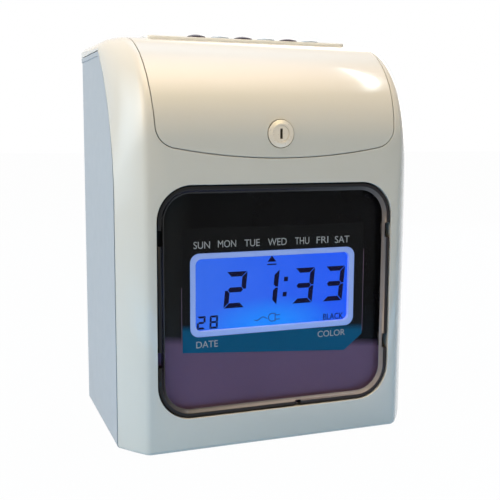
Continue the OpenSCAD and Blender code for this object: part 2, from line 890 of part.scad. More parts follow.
// The chassis and the card's path
bay = bay_w / 2;
base_top = base_z + sheet_t;
top_under = chassis_z - sheet_t;
guide_sheet = 1;
guide_low = 36;
stop_h = 3;
stop_half = 30;
print_gap = 14.5;
card_half_gap = 0.3;
feed_y = card_y - card_half_gap - feed_d / 2;
pinch_y = card_y + card_half_gap + pinch_d / 2;
roller_x = 25;
roller_w = 10;
roller_room = 2;
gear_w = 4;
gear_gap = 1;
gear_x = -bay - sheet_t - gear_gap;
gear_centres = (gear_teeth + pinion_teeth) * gear_m / 2;
pinion_a = 30;
pinion_y = feed_y - gear_centres * cos(pinion_a);
pinion_z = nip_z - gear_centres * sin(pinion_a);
motor_shaft_d = 3;
shaft_room = 5;
feed_motor_d = 28;
feed_motor_len = 24;
rod_set = 28;
rod_y0 = card_y - rod_set;
rod_half = 18;
ledge_peg_d = 4;

// The print carriage, its belt and its ribbon
belt_set = 44;
belt_y = card_y - belt_set;
belt_drop = 23.5;
belt_z = print_z - belt_drop;
belt_t = 1.2;
belt_h = 6;
pulley_h = 6.6;
pulley_rim = 1;
carriage_y = belt_y + pulley_d / 2 + belt_t + 2 * fit;
carriage_skin = 6;
carriage_back = rod_y0 + rod_d / 2 + carriage_skin;
carriage_half_h = 24;
head_d = 22;
head_len = 9;
nose_half_w = 3;
nose_half_h = 8;
nose_gap = 2.1;
nose_tip = card_y - nose_gap;
ribbon_y = nose_tip + fit;
ribbon_t = 0.25;
ribbon_half = 6;
platen_lead = 0.7;
platen_y = card_y - platen_lead;
platen_half_w = 46.5;
platen_half_h = 5;
platen_d = 9.7;
cassette_half_h = 8;
cassette_set = 62;
cassette_d = 16;
cassette_front = card_y - cassette_set;
cassette_back = cassette_front + cassette_d;
arm_gap = 0.5;
arm_in = platen_half_w + arm_gap;
arm_out = bay - arm_gap;
peg_set = 16;
peg_y = card_y - peg_set;
knob_d = 13;
knob_h = 6;
grip_d = 1.2;
knob_x = 40;
knob_y = (cassette_front + cassette_back) / 2;
knob_grips = 12;
motor_d = 24;
motor_len = 24;

module chassis_base() {
    piece(zinc) difference() {
        block(-bay - flange_w, bay + flange_w, bay_front, bay_rear, base_z, base_top);
        for (x = [-boss_x, boss_x], y = boss_rows)
            rod_z(base_z - cut, base_top + cut, x, y, screw_d + fit);
    }
}

// A side plate, drawn on the right, with the holes for the rods and shafts
module chassis_side(motor_hole) {
    difference() {
        union() {
            block(bay, bay + sheet_t, bay_front, bay_rear, base_top, top_under);
            rod_x(arm_in + cut, bay + thin, peg_y, print_z - cassette_half_h - ledge_peg_d / 2,
                ledge_peg_d);
        }
        for (s = [-1, 1])
            rod_x(bay - cut, bay + sheet_t + cut, rod_y0, print_z + s * rod_half, rod_d);
        rod_x(bay - cut, bay + sheet_t + cut, feed_y, nip_z, feed_shaft_d + 2 * run);
        rod_x(bay - cut, bay + sheet_t + cut, pinch_y, nip_z, pinch_shaft_d + 2 * run);
        if (motor_hole)
            rod_x(bay - cut, bay + sheet_t + cut, pinion_y, pinion_z, motor_shaft_d + shaft_room);
    }
}

module chassis_side_left() {
    piece(zinc) mirror([1, 0, 0]) chassis_side(true);
}

module chassis_side_right() {
    piece(zinc) chassis_side(false);
}

module chassis_top() {
    piece(zinc) {
        difference() {
            block(-bay - flange_w, bay + flange_w, deck_y, bay_rear, top_under, chassis_z);
            block(-slot_w / 2, slot_w / 2, slot_front, slot_back, top_under - cut, chassis_z + cut);
        }
        for (x = [first_key - key_pitch / 4, last_key + key_pitch / 4])
            rod_z(chassis_z - thin, key_pcb_z, x, key_y, key_post_d);
    }
}

module roller_windows(y0, y1, d) {
    for (x = [-roller_x, roller_x])
        block(x - roller_w / 2 - roller_room, x + roller_w / 2 + roller_room, y0, y1,
            nip_z - d / 2 - roller_room, nip_z + d / 2 + roller_room);
}

module front_guide_upper() {
    piece(zinc)
        block(-bay, bay, slot_front - guide_sheet, slot_front, print_z + print_gap, top_under);
}

module front_guide_lower() {
    piece(zinc) difference() {
        block(-bay, bay, slot_front - guide_sheet, slot_front, guide_low, print_z - print_gap);
        roller_windows(slot_front - guide_sheet - cut, slot_front + cut, feed_d);
    }
}

module rear_guide() {
    piece(zinc) difference() {
        block(-bay, bay, slot_back, slot_back + guide_sheet, guide_low, top_under);
        roller_windows(slot_back - cut, slot_back + guide_sheet + cut, pinch_d);
        block(-platen_half_w - fit, platen_half_w + fit, slot_back - cut,
            slot_back + guide_sheet + cut, print_z - platen_half_h - fit,
            print_z + platen_half_h + fit);
    }
}

module card_stop() {
    piece(black_plastic)
        block(-stop_half, stop_half, slot_front, slot_back, guide_low, guide_low + stop_h);
}

module platen() {
    step_y = slot_back + guide_sheet + fit;
    piece(rubber) {
        block(-platen_half_w, platen_half_w, platen_y, step_y + thin, print_z - platen_half_h,
            print_z + platen_half_h);
        block(-bay, bay, step_y, platen_y + platen_d, print_z - platen_half_h,
            print_z + platen_half_h);
    }
}

sensor_half = 8;
sensor_d = 8;
sensor_h = 12;

module card_sensor() {
    plate_y = slot_front - guide_sheet;
    piece(black_plastic) difference() {
        block(-sensor_half, sensor_half, plate_y - sensor_d, plate_y, top_under - 2 * sensor_h,
            top_under - sensor_h);
        rod_x(-sensor_half / 2, sensor_half / 2, plate_y - sensor_d, top_under - 1.5 * sensor_h,
            sensor_d / 2);
    }
}

module guide_rods() {
    piece(steel)
        for (s = [-1, 1])
            rod_x(-bay - sheet_t, bay + sheet_t, rod_y0, print_z + s * rod_half, rod_d);
}

module print_carriage() {
    piece(black_plastic) difference() {
        block(-carriage_w / 2, carriage_w / 2, carriage_y, carriage_back,
            print_z - carriage_half_h, print_z + carriage_half_h);
        for (s = [-1, 1])
            rod_x(-carriage_w, carriage_w, rod_y0, print_z + s * rod_half, rod_d + 2 * run);
    }
}

module print_head() {
    piece(zinc) {
        rod_y(carriage_back, carriage_back + head_len, 0, print_z, head_d);
        block(-nose_half_w, nose_half_w, carriage_back + head_len - thin, nose_tip,
            print_z - nose_half_h, print_z + nose_half_h);
    }
}

module stadium_2d(span, r) {
    rect(-span / 2, span / 2, -r, r);
    for (s = [-1, 1])
        translate([s * span / 2, 0]) circle(r);
}

module carriage_belt() {
    inner_r = pulley_d / 2 + fit;
    piece(rubber) translate([0, belt_y, 0]) slab_z(belt_z - belt_h / 2, belt_z + belt_h / 2)
        difference() {
            stadium_2d(belt_span, inner_r + belt_t);
            stadium_2d(belt_span, inner_r);
        }
}

module pulley(x) {
    rod_z(belt_z - pulley_h / 2, belt_z + pulley_h / 2, x, belt_y, pulley_d);
    for (z = [belt_z - pulley_h / 2 - pulley_rim, belt_z + pulley_h / 2])
        rod_z(z, z + pulley_rim, x, belt_y, pulley_d + 2 * pulley_rim);
}

pulley_low = belt_z - pulley_h / 2 - pulley_rim;
motor_top = pulley_low - sheet_t - fit;

module drive_pulley() {
    piece(brass) {
        pulley(belt_span / 2);
        rod_z(motor_top - shaft_room, pulley_low + thin, belt_span / 2, belt_y, motor_shaft_d);
    }
}

module idler_pulley() {
    piece(brass) difference() {
        pulley(-belt_span / 2);
        rod_z(pulley_low - cut, belt_z + pulley_h, -belt_span / 2, belt_y,
            motor_shaft_d + 2 * run);
    }
}

module idler_axle() {
    piece(steel) {
        block(-bay, -belt_span / 2 + pulley_d / 2, belt_y - pulley_d / 2, belt_y + pulley_d / 2,
            motor_top, motor_top + sheet_t);
        rod_z(motor_top + sheet_t - thin, belt_z + pulley_h / 2 + 2 * pulley_rim, -belt_span / 2,
            belt_y, motor_shaft_d);
    }
}

module carriage_motor() {
    piece(steel) difference() {
        union() {
            rod_z(motor_top - motor_len, motor_top + thin, belt_span / 2, belt_y, motor_d);
            block(belt_span / 2 - motor_d / 2, bay, belt_y - motor_d / 2, belt_y + motor_d / 2,
                motor_top, motor_top + sheet_t);
        }
        rod_z(motor_top - shaft_room - cut, motor_top + sheet_t + cut, belt_span / 2, belt_y,
            motor_shaft_d + 2 * run);
    }
}

module ribbon_cassette() {
    arm_back = ribbon_y + ribbon_t + cut / 2;
    piece(black_plastic) difference() {
        union() {
            block(-arm_out, arm_out, cassette_front, cassette_back, print_z - cassette_half_h,
                print_z + cassette_half_h);
            both_sides()
                block(arm_in, arm_out, cassette_back - thin, arm_back, print_z - cassette_half_h,
                    print_z + cassette_half_h);
        }
        rod_z(print_z, print_z + cassette_half_h + cut, knob_x, knob_y, stem_d + 2 * run);
    }
}

module ribbon() {
    piece("#26262e")
        block(-arm_in, arm_in, ribbon_y, ribbon_y + ribbon_t, print_z - ribbon_half,
            print_z + ribbon_half);
}

module ribbon_knob() {
    knob_z = print_z + cassette_half_h + fit;
    piece(white_plastic) {
        rod_z(knob_z, knob_z + knob_h, knob_x, knob_y, knob_d - grip_d);
        for (i = [1:knob_grips])
            translate([knob_x, knob_y, 0]) rotate([0, 0, i * 360 / knob_grips])
                rod_z(knob_z, knob_z + knob_h, (knob_d - grip_d) / 2, 0, grip_d);
        rod_z(print_z + cut, knob_z + thin, knob_x, knob_y, stem_d);
    }
}

root_share = 1.1;
tip_share = 0.8;
tooth_share = 0.2;
flank_a = 20;

// A gear with straight-sided teeth, its first tooth at angle a
module gear_2d(teeth, a) {
    r = teeth * gear_m / 2;
    root_r = r - root_share * gear_m;
    tip_r = r + tip_share * gear_m;
    half_pitch = tooth_share * PI * gear_m;
    half_root = half_pitch + (r - root_r) * tan(flank_a);
    half_tip = half_pitch - (tip_r - r) * tan(flank_a);
    circle(root_r);
    for (i = [0:teeth - 1])
        rotate(a + i * 360 / teeth)
            polygon([[root_r - gear_m, -half_root], [root_r, -half_root], [tip_r, -half_tip],
                [tip_r, half_tip], [root_r, half_root], [root_r - gear_m, half_root]]);
}

module feed_motor() {
    piece(steel) difference() {
        rod_x(-bay, -bay + feed_motor_len, pinion_y, pinion_z, feed_motor_d);
        rod_x(-bay - cut, -bay + shaft_room + cut, pinion_y, pinion_z, motor_shaft_d + 2 * run);
    }
}

module feed_pinion() {
    piece(brass) {
        translate([0, pinion_y, pinion_z]) slab_x(gear_x - gear_w, gear_x)
            gear_2d(pinion_teeth, pinion_a + 180 / pinion_teeth);
        rod_x(gear_x - thin, -bay + shaft_room, pinion_y, pinion_z, motor_shaft_d);
    }
}

module feed_gear() {
    piece(white_plastic) translate([0, feed_y, nip_z]) slab_x(gear_x - gear_w, gear_x)
        difference() {
            gear_2d(gear_teeth, 180 + pinion_a);
            circle(d = feed_shaft_d);
        }
}

module feed_shaft() {
    piece(steel)
        rod_x(gear_x - gear_w - cut, bay + sheet_t + gear_gap, feed_y, nip_z, feed_shaft_d);
}

module rollers(y, d, bore) {
    for (x = [-roller_x, roller_x])
        difference() {
            rod_x(x - roller_w / 2, x + roller_w / 2, y, nip_z, d);
            rod_x(x - roller_w, x + roller_w, y, nip_z, bore);
        }
}

module feed_rollers() {
    piece(rubber) rollers(feed_y, feed_d, feed_shaft_d);
}

module pinch_shaft() {
    piece(steel)
        rod_x(-bay - sheet_t - gear_gap / 2, bay + sheet_t + gear_gap, pinch_y, nip_z,
            pinch_shaft_d);
}

module pinch_rollers() {
    piece(white_plastic) rollers(pinch_y, pinch_d, pinch_shaft_d);
}

// Electrics
pcb_half_w = 52;
pcb_margin = 8;
core_w = 44;
core_d = 34;
core_h = 36;
core_x = 6;
core_in = 10;
core_y = bay_front + core_in;
coil_out = 5;
cell_d = 14;
cell_len = 40;
inlet_flange = 3;
inlet_flange_t = 2.5;
socket_deep = 12;
socket_r = 4.1;
pin_span = 8.6;
inlet_pin_d = 2.4;

module main_board() {
    z0 = post_rows[0] - pcb_margin;
    z1 = post_rows[1] + pcb_margin;
    chip = 18;
    chip_t = 3;
    piece(board_green) difference() {
        union() {
            block(-pcb_half_w, pcb_half_w, board_y - board_t, board_y, z0, z1);
            for (x = [-chip, chip])
                block(x - chip / 2, x + chip / 2, board_y - board_t - chip_t,
                    board_y - board_t + thin, post_rows[1] - 2 * chip, post_rows[1] - chip);
        }
        for (x = [-post_x, post_x], z = post_rows)
            rod_y(board_y - board_t - cut, board_y + cut, x, z, screw_d + fit);
    }
}

module transformer() {
    piece(copper) {
        block(core_x, core_x + core_w, core_y, core_y + core_d, base_top, base_top + core_h);
        block(core_x + coil_out, core_x + core_w - coil_out, core_y - coil_out,
            core_y + core_d + coil_out, base_top + coil_out, base_top + core_h - coil_out);
    }
}

module battery_pack() {
    piece("#3f7fb5") {
        for (i = [0, 1])
            rod_x(-core_x - cell_len, -core_x, core_y + i * cell_d, base_top + cell_d / 2, cell_d);
        block(-core_x - cell_len, -core_x, core_y, core_y + cell_d, base_top,
            base_top + cell_d / 2);
    }
}

// The socket with its two pins
module power_inlet() {
    piece(black_plastic) translate([inlet_x, 0, inlet_z]) {
        difference() {
            union() {
                slab_y(case_d - inlet_d, case_d) square([inlet_w, inlet_h], center = true);
                slab_y(inner_rear - inlet_flange_t, inner_rear)
                    square([inlet_w + 2 * inlet_flange, inlet_h + 2 * inlet_flange], center = true);
            }
            slab_y(case_d - socket_deep, case_d + cut) stadium_2d(pin_span, socket_r);
        }
        for (s = [-1, 1])
            rod_y(case_d - socket_deep - cut, case_d - inlet_flange_t, s * pin_span / 2, 0,
                inlet_pin_d);
    }
}

module rubber_feet() {
    piece(rubber)
        for (x = [-foot_x, foot_x], y = foot_rows) {
            rod_z(-foot_h, 0, x, y, foot_d);
            rod_z(-thin, wall, x, y, foot_plug_d);
        }
}

// The screws that hold the display board, the main board and the chassis
module inner_screws() {
    head_y = board_y - board_t;
    piece(steel) {
        for (x = [-stud_x, stud_x], z = [-stud_z, stud_z]) {
            rod_y(panel_back + cut, pcb_back + thin, x, lcd_mid + z, screw_d);
            rod_y(pcb_back, pcb_back + screw_head_h, x, lcd_mid + z, screw_head_d);
        }
        for (x = [-post_x, post_x], z = post_rows) {
            rod_y(head_y - thin, inner_rear - cut, x, z, screw_d);
            rod_y(head_y - screw_head_h, head_y, x, z, screw_head_d);
        }
        for (x = [-boss_x, boss_x], y = boss_rows) {
            rod_z(wall, base_top + thin, x, y, screw_d);
            rod_z(base_top, base_top + screw_head_h, x, y, screw_head_d);
        }
    }
}

module case_screws() {
    tab_front = inner_rear - fit - tab_t;
    head_y = case_d - head_room;
    piece(steel) both_sides() {
        rod_z(head_room, head_room + screw_head_h, floor_screw_x, floor_screw_y, screw_head_d);
        rod_z(head_room, wall + fit + tab_t, floor_screw_x, floor_screw_y, screw_d);
        rod_y(head_y - screw_head_h, head_y, rear_screw_x, rear_screw_z, screw_head_d);
        rod_y(tab_front, head_y, rear_screw_x, rear_screw_z, screw_d);
    }
}

rear_housing();
front_housing();
window_lens();
display_panel();
lcd_bezel();
lcd_glass();
lcd_backlight();
display_board();
buzzer();
lid();
lid_hinge_pins();
lock_body();
lock_nut();
lock_plug();
lock_cam();
lock_strike();
key_deck();
key_board();
key_switches();
key_1();
key_2();
key_3();
key_4();
key_5();
key_6();
chassis_base();
chassis_side_left();
chassis_side_right();
chassis_top();
front_guide_upper();
front_guide_lower();
rear_guide();
card_stop();
platen();
card_sensor();
guide_rods();
print_carriage();
print_head();
carriage_belt();
drive_pulley();
idler_pulley();
idler_axle();
carriage_motor();
ribbon_cassette();
ribbon();
ribbon_knob();
feed_motor();
feed_pinion();
feed_gear();
feed_shaft();
feed_rollers();
pinch_shaft();
pinch_rollers();
main_board();
transformer();
battery_pack();
power_inlet();
rubber_feet();
inner_screws();
case_screws();
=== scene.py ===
import json
import math

import bmesh
import bpy
from mathutils import Matrix, Vector


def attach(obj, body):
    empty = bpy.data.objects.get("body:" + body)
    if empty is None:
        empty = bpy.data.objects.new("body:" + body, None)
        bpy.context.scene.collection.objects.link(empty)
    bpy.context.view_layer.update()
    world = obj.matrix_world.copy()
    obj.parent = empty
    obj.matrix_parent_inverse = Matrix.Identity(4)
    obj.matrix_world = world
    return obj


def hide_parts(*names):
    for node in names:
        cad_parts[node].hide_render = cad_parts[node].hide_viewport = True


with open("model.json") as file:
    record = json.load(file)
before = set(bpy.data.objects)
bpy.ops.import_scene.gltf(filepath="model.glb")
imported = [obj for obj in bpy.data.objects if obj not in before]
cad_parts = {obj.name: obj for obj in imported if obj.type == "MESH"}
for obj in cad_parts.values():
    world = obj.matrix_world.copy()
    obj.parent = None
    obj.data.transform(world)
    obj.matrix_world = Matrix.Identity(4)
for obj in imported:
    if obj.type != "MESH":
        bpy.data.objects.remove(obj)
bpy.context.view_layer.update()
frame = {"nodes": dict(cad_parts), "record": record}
nodes = frame["nodes"]
MM = 0.001
CASE_FRONT = 58.5
FOOT_HEIGHT = 1.5


def at(x, y, z):
    """A point given in case millimetres, in the row frame.

    y runs back from the flat front and z up from the bottom of the case.
    """
    return Vector((x * MM, (y - CASE_FRONT) * MM, (z + FOOT_HEIGHT) * MM))


def srgb(r, g, b):
    """A colour written as 0 to 255 display values, as linear values."""
    def lin(v):
        v /= 255
        return v / 12.92 if v <= 0.04045 else ((v + 0.055) / 1.055) ** 2.4
    return (lin(r), lin(g), lin(b), 1.0)


# Camera

def aim(yaw, pitch, roll):
    """Rotation of a camera that looks along +Y at zero, in degrees."""
    a, p, r = (math.radians(v) for v in (yaw, pitch, roll))
    look = Vector((math.sin(a) * math.cos(p), math.cos(a) * math.cos(p), -math.sin(p)))
    right = Vector((math.cos(a), -math.sin(a), 0))
    up = right.cross(look)
    right, up = (math.cos(r) * right + math.sin(r) * up, math.cos(r) * up - math.sin(r) * right)
    return Matrix((right, up, -look)).transposed().to_4x4()


SENSOR = 36.0
FOCAL_SHARE = 871.3 / 500
CAMERA_PLACE = Vector((-0.1831, -0.4865, 0.1718))

camera_data = bpy.data.cameras.new("camera")
camera_data.sensor_width = SENSOR
camera_data.lens = FOCAL_SHARE * SENSOR
camera = bpy.data.objects.new("camera", camera_data)
camera.matrix_world = Matrix.Translation(CAMERA_PLACE) @ aim(21.18, 7.81, 0.31)
bpy.context.collection.objects.link(camera)
bpy.context.scene.camera = camera
bpy.context.scene.view_settings.view_transform = "Standard"


# Materials

class Graph:
    """Builds one node material, or the nodes of a lamp, with short calls for the nodes used here."""

    def __init__(self, name, lamp_data=None):
        self.mat = lamp_data or bpy.data.materials.new(name)
        self.mat.use_nodes = True
        self.tree = self.mat.node_tree
        self.bsdf = next(n for n in self.tree.nodes if n.type in ("BSDF_PRINCIPLED", "EMISSION"))
        self.coord = self.add("ShaderNodeTexCoord").outputs["Object"]

    def add(self, kind, links=(), **values):
        n = self.tree.nodes.new(kind)
        for k, v in values.items():
            setattr(n, k, v)
        for socket, value in dict(links).items():
            self.put(n.inputs[socket], value)
        return n

    def put(self, socket, value):
        if isinstance(value, bpy.types.NodeSocket):
            self.tree.links.new(value, socket)
        else:
            socket.default_value = value

    def set(self, **values):
        for k, v in values.items():
            self.put(self.bsdf.inputs[k.replace("_", " ")], v)

    def noise(self, scale, detail=3.0, stretch=None):
        vector = self.coord
        if stretch:
            vector = self.add("ShaderNodeMapping", {"Vector": vector, "Scale": stretch}).outputs["Vector"]
        links = {"Vector": vector, "Scale": scale, "Detail": detail}
        return self.add("ShaderNodeTexNoise", links).outputs["Fac"]

    def span(self, value, low, high, start=0.0, end=1.0):
        links = {"Value": value, "From Min": start, "From Max": end, "To Min": low, "To Max": high}
        return self.add("ShaderNodeMapRange", links).outputs["Result"]

    def mix(self, factor, a, b):
        n = self.add("ShaderNodeMix", data_type="RGBA")
        for socket, value in zip([i for i in n.inputs if i.name in ("Factor", "A", "B") and
                                  i.type in ("VALUE", "RGBA") and i.enabled], (factor, a, b)):
            self.put(socket, value)
        return next(o for o in n.outputs if o.enabled)

    def maths(self, op, a, b=0.0, clamp=False):
        return self.add("ShaderNodeMath", {0: a, 1: b}, operation=op, use_clamp=clamp).outputs[0]

    def axes(self):
        n = self.add("ShaderNodeSeparateXYZ", {"Vector": self.coord})
        return n.outputs["X"], n.outputs["Y"], n.outputs["Z"]

    def relief(self, height, depth, round_edge=0.0):
        links = {"Height": height, "Distance": depth}
        if round_edge:
            links["Normal"] = self.add("ShaderNodeBevel", {"Radius": round_edge}, samples=6).outputs["Normal"]
        self.set(Normal=self.add("ShaderNodeBump", links).outputs["Normal"])


def shade(colour, k):
    return tuple(min(1.0, c * k) for c in colour[:3]) + (1.0,)


def moulded(name, colour, rough=0.35, grain=0.00002, grain_scale=2600.0, edge=0.0005, spec=0.5, top=None):
    """Moulded plastic: faint flow marks, uneven gloss, a fine grain, and if given, another colour painted on
    the faces that look up, standing in for light and shade on the top.
    """
    g = Graph(name)
    flow = g.span(g.noise(22.0, 4.0, (1.0, 1.0, 0.35)), 0.0, 1.0, 0.3, 0.7)
    base = g.mix(flow, shade(colour, 0.992), shade(colour, 1.008))
    # painted light and shade: faces that look up are tinted with the top colour
    if top:
        normal = g.add("ShaderNodeNewGeometry").outputs["True Normal"]
        up = g.add("ShaderNodeSeparateXYZ", {"Vector": normal}).outputs["Z"]
        base = g.mix(g.span(up, 0.0, 1.0, 0.7, 0.9), base, top)
    g.set(Base_Color=base)
    wear = g.noise(140.0, 5.0)
    g.set(Roughness=g.span(wear, rough * 0.94, rough * 1.06, 0.3, 0.7))
    g.relief(g.noise(grain_scale, 2.0), grain, edge)
    g.set(Specular_IOR_Level=spec)
    return g.mat


def metal(name, colour, rough=0.3, stretch=(1.0, 1.0, 1.0), scale=900.0, edge=0.0002):
    """Plated or machined metal with fine tool marks and slightly uneven gloss."""
    g = Graph(name)
    marks = g.noise(scale, 4.0, stretch)
    g.set(Base_Color=g.mix(g.noise(60.0, 4.0), shade(colour, 0.86), shade(colour, 1.06)), Metallic=1.0)
    g.set(Roughness=g.span(marks, rough * 0.75, rough * 1.35, 0.3, 0.7))
    g.relief(marks, 0.00001, edge)
    return g.mat


def glowing_frame():
    """Pale frame of the display, tinted by the light that leaks from it."""
    g = Graph("bezel")
    g.set(Base_Color=g.mix(g.noise(120.0, 4.0), srgb(190, 208, 246), srgb(202, 218, 250)))
    g.set(Roughness=g.span(g.noise(300.0), 0.3, 0.38, 0.3, 0.7))
    g.relief(g.noise(2600.0, 2.0), 0.000004, 0.0006)
    g.set(Emission_Color=srgb(60, 120, 255), Emission_Strength=0.36)
    return g.mat


def smoked_panel():
    """Dark glossy backing panel, black above, with a plum painted reflection towards its foot and a paler
    painted reflection along its left edge.
    """
    g = Graph("panel")
    x, _, z = g.axes()
    # painted reflection: plum below a slanted line near the foot
    edge = g.maths("ADD", z, g.maths("MULTIPLY", x, 0.09))
    foot = g.span(edge, 1.0, 0.0, 0.0535, 0.0585)
    haze = g.noise(16.0, 3.0)
    dark = g.mix(haze, srgb(4, 4, 4), srgb(9, 9, 8))
    # painted reflection: a paler band along the left edge
    dark = g.mix(g.span(x, 1.0, 0.0, -0.058, -0.046), dark, srgb(40, 40, 39))
    g.set(Base_Color=g.mix(foot, dark, g.mix(haze, srgb(115, 92, 124), srgb(134, 107, 144))))
    g.set(Roughness=g.span(g.noise(160.0, 5.0), 0.2, 0.28, 0.3, 0.7), Specular_IOR_Level=0.07)
    g.relief(g.noise(2200.0, 2.0), 0.000004)
    return g.mat


MATS = {
    "case_front": moulded("case_front", srgb(212, 210, 205), rough=0.08, grain=0.000001),
    # case_side: the same plastic as case_front, painted darker and bluer as painted shade on the rear
    # housing's sides
    "case_side": moulded("case_side", srgb(156, 168, 180), rough=0.34, grain=0.000003),
    "panel": smoked_panel(),
    "bezel": glowing_frame(),
    "board": moulded("board", srgb(38, 92, 58), rough=0.4),
    "black_plastic": moulded("black_plastic", srgb(34, 34, 36), rough=0.45, grain=0.00003),
    "white_plastic": moulded("white_plastic", srgb(224, 224, 220), rough=0.35),
    "key_dark": moulded("key_dark", srgb(44, 30, 52), rough=0.28),
    "key_white": moulded("key_white", srgb(190, 204, 224), rough=0.26),
    "lock_metal": metal("lock_metal", srgb(200, 192, 176), rough=0.34),
    "steel": metal("steel", srgb(196, 198, 200), rough=0.3, stretch=(0.05, 1.0, 1.0)),
    "sheet_metal": metal("sheet_metal", srgb(188, 191, 194), rough=0.38, stretch=(0.08, 0.08, 1.0)),
    "head_metal": metal("head_metal", srgb(150, 152, 156), rough=0.45),
    "rubber": moulded("rubber", srgb(30, 30, 31), rough=0.75, grain=0.00005, grain_scale=1500.0, spec=0.3),
    "brass": metal("brass", srgb(204, 172, 100), rough=0.28),
    "ribbon_cloth": moulded("ribbon_cloth", srgb(24, 23, 30), rough=0.8, grain=0.00008, grain_scale=2200.0,
                            spec=0.2),
    "core_iron": moulded("core_iron", srgb(126, 84, 58), rough=0.5, grain=0.00006, grain_scale=900.0),
    "battery": moulded("battery", srgb(52, 104, 160), rough=0.3),
}


def lit_display():
    """Backlit blue display glass: brightest low in the middle, where the light guide feeds it."""
    g = Graph("display")
    x, _, z = g.axes()
    dx = g.maths("DIVIDE", g.maths("SUBTRACT", x, -0.002), 0.036)
    dz = g.maths("DIVIDE", g.maths("SUBTRACT", z, 0.0665), 0.013)
    reach = g.maths("ADD", g.maths("MULTIPLY", dx, dx), g.maths("MULTIPLY", dz, dz))
    glow = g.span(g.maths("SQRT", reach), 1.0, 0.0, 0.25, 1.15)
    side = g.span(x, 0.0, 1.0, -0.046, 0.046)
    field = g.mix(side, srgb(50, 104, 226), srgb(26, 84, 238))
    colour = g.mix(glow, field, srgb(18, 136, 250))
    colour = g.mix(g.span(g.noise(70.0), 0.0, 0.12, 0.35, 0.7), colour, srgb(70, 120, 255))
    g.set(Base_Color=shade(srgb(30, 60, 150), 0.6), Roughness=0.2)
    g.set(Emission_Color=colour, Emission_Strength=1.12, Specular_IOR_Level=0.15)
    return g.mat


MATS["display"] = lit_display()


def smoky_lens():
    """Smoky clear sheet: dark and see-through, with faint wipe marks in the gloss."""
    g = Graph("lens")
    wipe = g.noise(60.0, 5.0, (0.4, 1.0, 1.6))
    g.set(Base_Color=g.mix(wipe, srgb(20, 18, 22), srgb(30, 26, 32)))
    g.set(Roughness=g.span(wipe, 0.05, 0.11, 0.3, 0.7))
    g.set(Alpha=0.1, Specular_IOR_Level=0.07)
    return g.mat


MATS["lens"] = smoky_lens()
for part in frame["record"]["subparts"]:
    obj = nodes[part["node"]]
    obj.data.materials.clear()
    obj.data.materials.append(MATS[part["material_slot"]])

# Painted light: the deck is near white where its front catches light, and its top is painted darker as
# painted shade.
deck_painted_light_mat = moulded("case_deck_painted_light", srgb(244, 248, 252), rough=0.12, grain=0.000001, edge=0.0009,
                   top=srgb(192, 198, 204))
nodes["key_deck"].data.materials[0] = deck_painted_light_mat


# Smooth shading across the small facets of the formed housing

WELD_REACH = 0.000002
SHARP_ANGLE = 35


def smoothed(obj):
    """Joins the facets and shades them as one surface, up to an edge angle."""
    obj.modifiers.new("join", "WELD").merge_threshold = WELD_REACH
    group = bpy.data.node_groups.new("smooth_" + obj.name, "GeometryNodeTree")
    group.interface.new_socket("Geometry", in_out="INPUT", socket_type="NodeSocketGeometry")
    group.interface.new_socket("Geometry", in_out="OUTPUT", socket_type="NodeSocketGeometry")
    make, link = group.nodes.new, group.links.new
    start, end = make("NodeGroupInput"), make("NodeGroupOutput")
    plain = make("GeometryNodeRemoveAttribute")
    plain.inputs["Name"].default_value = "custom_normal"
    faces, edges = make("GeometryNodeSetShadeSmooth"), make("GeometryNodeSetShadeSmooth")
    faces.domain, edges.domain = "FACE", "EDGE"
    edges.inputs["Shade Smooth"].default_value = False
    steep = make("FunctionNodeCompare")
    steep.data_type, steep.operation = "FLOAT", "GREATER_THAN"
    steep.inputs["B"].default_value = math.radians(SHARP_ANGLE)
    link(make("GeometryNodeInputMeshEdgeAngle").outputs["Unsigned Angle"], steep.inputs["A"])
    link(start.outputs[0], plain.inputs[0])
    link(plain.outputs[0], faces.inputs["Geometry"])
    link(faces.outputs[0], edges.inputs["Geometry"])
    link(steep.outputs[0], edges.inputs["Selection"])
    link(edges.outputs[0], end.inputs[0])
    obj.modifiers.new("smooth", "NODES").node_group = group


smoothed(nodes["front_housing"])


# Shapes

def piece(name, build, mat, body="case", smooth=False):
    """A mesh piece made by build(bm), riding on a body."""
    bm = bmesh.new()
    build(bm)
    bmesh.ops.recalc_face_normals(bm, faces=bm.faces)
    mesh = bpy.data.meshes.new(name)
    bm.to_mesh(mesh)
    bm.free()
    mesh.materials.append(mat)
    obj = bpy.data.objects.new(name, mesh)
    bpy.context.collection.objects.link(obj)
    if smooth:
        mesh.shade_smooth()
    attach(obj, body)
    return obj


def plate(bm, outline, front, back):
    """A flat plate from an outline of (x, z) points, between two depths."""
    a = [bm.verts.new(at(x, front, z)) for x, z in outline]
    b = [bm.verts.new(at(x, back, z)) for x, z in outline]
    bm.faces.new(a)
    bm.faces.new(b[::-1])
    n = len(a)
    for i in range(n):
        bm.faces.new((a[i], b[i], b[(i + 1) % n], a[(i + 1) % n]))


def rounded(x, z, half_w, half_h, r, steps):
    """Points round a rectangle with round corners, anticlockwise from the right side's upper end."""
    points = []
    for k, (sx, sz) in enumerate(((1, 1), (-1, 1), (-1, -1), (1, -1))):
        for i in range(steps + 1):
            a = math.radians(90 * k + 90 * i / steps)
            points.append((x + sx * (half_w - r) + r * math.cos(a),
                           z + sz * (half_h - r) + r * math.sin(a)))
    return points


SEGMENTS = {"1": "bc", "2": "abged", "3": "abgcd", "8": "abcdefg"}
SEGMENT_GAP = 0.11
GLASS_FACE = 8.9
MARK_FRONT, MARK_BACK = GLASS_FACE - 0.12, GLASS_FACE - 0.02


def mark(bm, outline):
    """A thin mark on the face of the display glass."""
    plate(bm, outline, MARK_FRONT, MARK_BACK)


